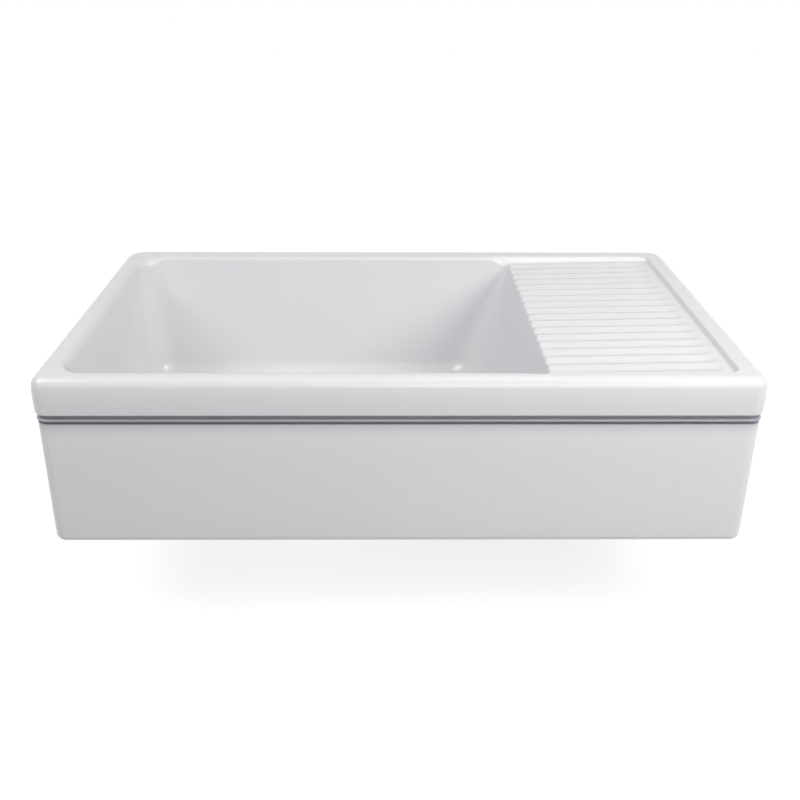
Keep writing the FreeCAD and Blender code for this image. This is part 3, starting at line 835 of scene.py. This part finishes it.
def makeTurnedLines():
    # fine rings left by turning and brushing about the drain's axis
    tree, s, given, wanted = newGroup(
        "turnedLines",
        [("density", floatKind, 2600.0), ("strength", floatKind, 1.0)],
        [("height", floatKind), ("streak", floatKind)])
    aroundScale = 0.0006        # small, so that a line hardly changes round the axis
    broadDensity = 260.0
    fromAxis = s.node(
        "ShaderNodeVectorMath", {"operation": "SUBTRACT"},
        {0: s.place(), 1: (drain.x, drain.y, 0.0)})
    split = s.node("ShaderNodeSeparateXYZ", inputs={0: fromAxis.outputs[0]})
    level = s.node(
        "ShaderNodeCombineXYZ", inputs={0: split.outputs[0], 1: split.outputs[1], 2: 0.0})
    radius = s.length(level.outputs[0])
    turn = s.math("ARCTAN2", split.outputs[1], split.outputs[0])
    around = s.math("MULTIPLY", turn, aroundScale)
    lines = s.node("ShaderNodeCombineXYZ", inputs={0: radius, 1: around, 2: split.outputs[2]})
    rings = s.noise(lines.outputs[0], given["density"], detail=2.0, roughness=0.6)
    broad = s.noise(lines.outputs[0], broadDensity, detail=2.0)
    s.feed(wanted["height"], s.math("MULTIPLY", rings, given["strength"]))
    halves = s.math("MULTIPLY", rings, 0.5), s.math("MULTIPLY", broad, 0.5)
    s.feed(wanted["streak"], s.math("ADD", *halves))
    return tree


mottle = makeMottle()
grain = makeGrain()
turnedLines = makeTurnedLines()


def newMaterial(name):
    material = bpy.data.materials.new(name)
    material.use_nodes = True
    shader = Shader(material.node_tree)
    surface = shader.nodes["Principled BSDF"]
    return material, shader, surface


def bump(shader, surface, height, distance):
    made = shader.node(
        "ShaderNodeBump", inputs={"Strength": 1.0, "Distance": distance, "Height": height})
    shader.links.new(made.outputs["Normal"], surface.inputs["Normal"])


# Glaze: fired white gloss, a little uneven in tone and with the soft ripple of poured glaze.
# Painted shade darkens the trim's grooves, and a painted shadow fades down the apron just below
# them.
glazeLook = {
    "white": (0.842, 0.840, 0.848, 1),
    "shade": (0.818, 0.816, 0.826, 1),
    "mottleScale": 9.0,
    "contrast": 1.6,
    # painted shade: the colour that darkens the trim's grooves and, as a painted shadow, the apron
    # just below them
    "paintedShadeColour": (0.385, 0.38, 0.415, 1),
    "paintedShadeInTrim": 1.0,
    "paintedShadeBelow": 0.50,
    "paintedShadeReach": 0.022,
    "skinDepth": 0.018,     # how deep the outer skin reaches in from the lip's planes
    "roughness": (0.15, 0.22),
    "ior": 1.5,
    "rippleScale": 55.0,
    "rippleDepth": 0.00005,
    "coat": 0.12,
    "coatRoughness": 0.10,
}


def paintedShadeMask(s, look):
    # painted shade: 1 in the trim's grooves, fading out down the apron's top as a painted shadow
    # under the lip, and 0 elsewhere
    place = s.node("ShaderNodeSeparateXYZ", inputs={0: s.place()}).outputs
    besideX = s.math(
        "GREATER_THAN", s.math("ABSOLUTE", place[0]), halfWidth - look["skinDepth"])
    besideY = s.math(
        "GREATER_THAN", s.math("ABSOLUTE", place[1]), halfDepth - look["skinDepth"])
    underLip = s.math(
        "MULTIPLY", s.math("MAXIMUM", besideX, besideY),
        s.math("LESS_THAN", place[2], lipBottom))
    # painted shade over the trim's grooves and bead
    inTrim = s.math("GREATER_THAN", place[2], apronTop - g["apronEdge"])
    inTrim = s.math("MULTIPLY", inTrim, look["paintedShadeInTrim"])
    # painted shadow under the lip, fading out down the apron
    below = s.range(place[2], apronTop - look["paintedShadeReach"], apronTop, 0.0, 1.0)
    below = s.math("MULTIPLY", s.math("MULTIPLY", below, below), look["paintedShadeBelow"])
    return s.math("MULTIPLY", s.math("MAXIMUM", inTrim, below), underLip)


def makeGlaze(look):
    material, s, surface = newMaterial("glaze")
    tone = s.group(mottle, scale=look["mottleScale"], contrast=look["contrast"])["value"]
    poured = s.mix(tone, look["shade"], look["white"])
    # the painted shade of the trim and the painted shadow below the lip are mixed into the glaze
    # colour here
    s.feed(surface.inputs["Base Color"], s.mix(paintedShadeMask(s, look), poured, look["paintedShadeColour"]))
    smoothest, roughest = look["roughness"]
    s.feed(surface.inputs["Roughness"], s.range(tone, *toneRange, roughest, smoothest))
    surface.inputs["IOR"].default_value = look["ior"]
    surface.inputs["Coat Weight"].default_value = look["coat"]
    surface.inputs["Coat Roughness"].default_value = look["coatRoughness"]
    ripple = s.noise(s.place(), look["rippleScale"], detail=1.5, roughness=0.4)
    bump(s, surface, ripple, look["rippleDepth"])
    return material


# Bare fireclay below the glaze line
bareLook = {
    "pale": (0.68, 0.635, 0.56, 1),
    "dark": (0.52, 0.47, 0.40, 1),
    "roughness": (0.78, 0.92),
    "mottleScale": 24.0,
    "contrast": 2.4,
    "grainScale": 420.0,
    "pits": 0.5,
    "grainDepth": 0.0004,
}


def makeBareClay(look):
    material, s, surface = newMaterial("bareClay")
    tone = s.group(mottle, scale=look["mottleScale"], contrast=look["contrast"])["value"]
    s.feed(surface.inputs["Base Color"], s.mix(tone, look["dark"], look["pale"]))
    s.feed(surface.inputs["Roughness"], s.range(tone, *toneRange, *look["roughness"]))
    height = s.group(grain, scale=look["grainScale"], pits=look["pits"])["height"]
    bump(s, surface, height, look["grainDepth"])
    return material


def metalMaterial(name, look):
    # turned metal: brushed rings in its normal and roughness
    material, s, surface = newMaterial(name)
    rings = s.group(turnedLines, density=look["density"], strength=1.0)
    tone = s.group(mottle, scale=look["mottleScale"], contrast=look["contrast"])["value"]
    s.feed(surface.inputs["Base Color"], s.mix(tone, look["dark"], look["bright"]))
    streakShare, toneShare = 0.6, 0.4
    streaky = s.math(
        "ADD", s.math("MULTIPLY", rings["streak"], streakShare),
        s.math("MULTIPLY", tone, toneShare))
    s.feed(surface.inputs["Roughness"], s.range(streaky, *streakRange, *look["roughness"]))
    surface.inputs["Metallic"].default_value = 1.0
    bump(s, surface, rings["height"], look["lineDepth"])
    return material


def mouldedMaterial(name, look):
    # moulded rubber, foam, fibre or plastic: mottled tone and an even grain
    material, s, surface = newMaterial(name)
    tone = s.group(mottle, scale=look["mottleScale"], contrast=look["contrast"])["value"]
    s.feed(surface.inputs["Base Color"], s.mix(tone, look["dark"], look["bright"]))
    s.feed(surface.inputs["Roughness"], s.range(tone, *toneRange, *look["roughness"]))
    surface.inputs["IOR"].default_value = look["ior"]
    height = s.group(grain, scale=look["grainScale"], pits=look["pits"])["height"]
    bump(s, surface, height, look["grainDepth"])
    return material


# Metals of the strainer, its nuts and the tailpiece, by slot
metals = {
    "stainless": {
        "bright": (0.66, 0.655, 0.645, 1), "dark": (0.56, 0.555, 0.55, 1),
        "roughness": (0.20, 0.34), "density": 2600.0, "lineDepth": 0.00002,
        "mottleScale": 45.0, "contrast": 1.4},
    "zinc_plated": {
        "bright": (0.60, 0.615, 0.63, 1), "dark": (0.44, 0.45, 0.455, 1), "roughness": (0.36, 0.52),
        "density": 1500.0, "lineDepth": 0.00003, "mottleScale": 90.0, "contrast": 2.6},
    "chrome_tube": {
        "bright": (0.80, 0.81, 0.82, 1), "dark": (0.74, 0.75, 0.765, 1), "roughness": (0.05, 0.12),
        "density": 1200.0, "lineDepth": 0.000006, "mottleScale": 30.0, "contrast": 1.2},
    "chrome_nut": {
        "bright": (0.79, 0.80, 0.81, 1), "dark": (0.71, 0.72, 0.735, 1), "roughness": (0.08, 0.18),
        "density": 1400.0, "lineDepth": 0.00001, "mottleScale": 60.0, "contrast": 1.6},
    "spring_steel": {
        "bright": (0.52, 0.51, 0.50, 1), "dark": (0.38, 0.37, 0.365, 1), "roughness": (0.30, 0.45),
        "density": 3000.0, "lineDepth": 0.00001, "mottleScale": 160.0, "contrast": 2.0},
}

# Seals, washers and the knob, by slot
moulded = {
    "white_foam": {
        "bright": (0.74, 0.735, 0.70, 1), "dark": (0.60, 0.595, 0.56, 1), "roughness": (0.75, 0.9),
        "ior": 1.45, "grainScale": 1300.0, "pits": 0.9, "grainDepth": 0.0003, "mottleScale": 80.0,
        "contrast": 2.0},
    "black_rubber": {
        "bright": (0.036, 0.035, 0.034, 1), "dark": (0.018, 0.018, 0.019, 1),
        "roughness": (0.48, 0.68), "ior": 1.5, "grainScale": 1500.0, "pits": 0.2,
        "grainDepth": 0.00008, "mottleScale": 60.0, "contrast": 2.0},
    "fibre": {
        "bright": (0.44, 0.29, 0.17, 1), "dark": (0.28, 0.17, 0.09, 1), "roughness": (0.72, 0.86),
        "ior": 1.45, "grainScale": 1800.0, "pits": 0.3, "grainDepth": 0.00015, "mottleScale": 240.0,
        "contrast": 3.0},
    "white_plastic": {
        "bright": (0.80, 0.80, 0.78, 1), "dark": (0.74, 0.74, 0.715, 1), "roughness": (0.32, 0.45),
        "ior": 1.47, "grainScale": 1200.0, "pits": 0.1, "grainDepth": 0.00004, "mottleScale": 70.0,
        "contrast": 1.4},
    "black_plastic": {
        "bright": (0.030, 0.030, 0.032, 1), "dark": (0.016, 0.016, 0.018, 1),
        "roughness": (0.16, 0.28), "ior": 1.5, "grainScale": 1600.0, "pits": 0.1,
        "grainDepth": 0.00003, "mottleScale": 120.0, "contrast": 1.8},
}


def finishName(slot):
    # zinc_plated becomes ZincPlated
    return slot.replace("_", " ").title().replace(" ", "")


glaze = makeGlaze(glazeLook)
bareClay = makeBareClay(bareLook)
finishes = {"glazed_fireclay": glaze}
for slot, look in metals.items():
    finishes[slot] = metalMaterial(finishName(slot), look)
for slot, look in moulded.items():
    finishes[slot] = mouldedMaterial(finishName(slot), look)

glazed.data.materials.append(glaze)
bareFoot.data.materials.append(bareClay)
for part in frame["record"]["subparts"]:
    node = frame["nodes"][part["node"]]
    node.data.materials.clear()
    node.data.materials.append(finishes[part["material_slot"]])
print("materials:", len(bpy.data.materials), "made")


# Floor, light and camera

def aim(thing, place, target):
    # stands the thing at a place and points its -Z at the target
    thing.location = place
    thing.rotation_mode = "QUATERNION"
    thing.rotation_quaternion = (Vector(target) - Vector(place)).to_track_quat("-Z", "Y")


def rayKinds(s):
    # 1 for rays that see the white backdrop: camera, mirror and through-glass rays
    rays = s.node("ShaderNodeLightPath").outputs
    mirror = s.math("MAXIMUM", rays["Is Glossy Ray"], rays["Is Transmission Ray"])
    return s.math("MAXIMUM", rays["Is Camera Ray"], mirror)


room = {
    "floorBelow": 0.003,    # below the tailpiece
    "floorSize": 12.0,
    "floorBright": (0.42, 0.42, 0.42, 1),
    "floorDark": (0.40, 0.40, 0.40, 1),
    "glowNear": 0.80,
    "glowFar": 1.0,
    "glowFrom": 0.7,
    "glowTo": 1.8,
    "ambient": (0.93, 0.92, 1.0, 1),
    "ambientStrength": 0.28,
}
# Large soft lamps, places and sizes in metres and power in watts
lamps = {
    "overheadSoftbox": {
        "place": (0.45, -0.20, 1.40), "target": (0.10, 0.0, 0.1), "size": (1.0, 0.8), "power": 2.1,
        "colour": (1.0, 1.0, 0.98)},
    "rightSoftbox": {
        "place": (1.25, -0.95, 1.20), "target": (0.0, 0.0, 0.1), "size": (0.8, 0.8), "power": 14.2,
        "colour": (1.0, 0.995, 0.97)},
    "leftSoftbox": {
        "place": (-1.45, -0.60, 1.70), "target": (0.0, 0.0, 0.1), "size": (1.0, 1.0), "power": 15.4,
        "colour": (1.0, 0.985, 0.985)},
    "frontSoftbox": {
        "place": (0.45, -2.10, 0.90), "target": (0.0, 0.0, 0.1), "size": (1.4, 0.9), "power": 9.0,
        "colour": (0.985, 0.97, 0.995)},
}


def addFloor(name):
    # a pale floor, which glows white to the camera
    half = room["floorSize"] / 2
    z = cadBounds[0].z - room["floorBelow"]
    plane = bpy.data.meshes.new(name)
    plane.from_pydata(
        [(-half, -half, z), (half, -half, z), (half, half, z), (-half, half, z)],
        [], [(0, 1, 2, 3)])
    floor = bpy.data.objects.new(name, plane)
    scene.collection.objects.link(floor)
    return floor


def makeFloorPaint():
    material, s, surface = newMaterial("floorPaint")
    tone = s.group(mottle, scale=1.5, contrast=1.0)["value"]
    s.feed(surface.inputs["Base Color"], s.mix(tone, room["floorDark"], room["floorBright"]))
    surface.inputs["Roughness"].default_value = 1.0
    surface.inputs["Specular IOR Level"].default_value = 0.0
    glowing = s.range(
        s.length(s.place()), room["glowFrom"], room["glowTo"], room["glowNear"],
        room["glowFar"], "SMOOTHSTEP")
    strength = s.math("MULTIPLY", rayKinds(s), glowing)
    glow = s.node("ShaderNodeEmission", inputs={"Strength": strength})
    both = s.node("ShaderNodeAddShader", inputs={0: surface.outputs[0], 1: glow.outputs[0]})
    s.links.new(both.outputs[0], s.nodes["Material Output"].inputs["Surface"])
    return material


studioFloor = addFloor("studioFloor")
studioFloor.data.materials.append(makeFloorPaint())


def makeWorld(name):
    # white to the rays that see the backdrop, and soft bluish light for the rest
    world = bpy.data.worlds.new(name)
    world.use_nodes = True
    s = Shader(world.node_tree)
    s.nodes.clear()
    backdrop = s.node("ShaderNodeBackground", inputs={"Color": (1, 1, 1, 1), "Strength": 1.0})
    ambient = s.node("ShaderNodeBackground", inputs={
        "Color": room["ambient"], "Strength": room["ambientStrength"]})
    chosen = s.node("ShaderNodeMixShader", inputs={
        0: rayKinds(s), 1: ambient.outputs[0], 2: backdrop.outputs[0]})
    output = s.node("ShaderNodeOutputWorld")
    s.links.new(chosen.outputs[0], output.inputs["Surface"])
    return world


def addLamp(name, settings):
    light = bpy.data.lights.new(name, "AREA")
    light.shape = "RECTANGLE"
    light.size, light.size_y = settings["size"]
    light.energy = settings["power"]
    light.color = settings["colour"]
    lamp = bpy.data.objects.new(name, light)
    scene.collection.objects.link(lamp)
    aim(lamp, settings["place"], settings["target"])


scene.world = makeWorld("studio")
for name, settings in lamps.items():
    addLamp(name, settings)

# The camera that sees the sink from the front and above
photoView = {
    "place": (-0.0222, -1.2643, 0.7382),
    "pitch": math.radians(23.0),
    "yaw": math.radians(0.49),
    "roll": math.radians(0.209),
    "lens": 41.535,
    "sensor": 36.0,
    "shift": (0.0131, -0.0894),
    "nearest": 0.02,
    "farthest": 60.0,
}


def addCamera(name, view):
    data = bpy.data.cameras.new(name)
    data.sensor_width = view["sensor"]
    data.lens = view["lens"]
    data.shift_x, data.shift_y = view["shift"]
    data.clip_start = view["nearest"]
    data.clip_end = view["farthest"]
    camera = bpy.data.objects.new(name, data)
    scene.collection.objects.link(camera)
    pitch, yaw, roll = view["pitch"], view["yaw"], view["roll"]
    flat = math.cos(pitch)
    ahead = Vector((math.sin(yaw) * flat, math.cos(yaw) * flat, -math.sin(pitch)))
    level = Vector((math.cos(yaw), -math.sin(yaw), 0))
    above = level.cross(ahead)
    right = level * math.cos(roll) + above * math.sin(roll)
    above = right.cross(ahead)
    axes = Matrix((right, above, -ahead)).transposed()
    camera.matrix_world = Matrix.Translation(view["place"]) @ axes.to_4x4()
    return camera


scene.camera = addCamera("photoCamera", photoView)
scene.view_settings.view_transform = "Standard"
print("stage: floor, world,", len(lamps), "lamps and camera")
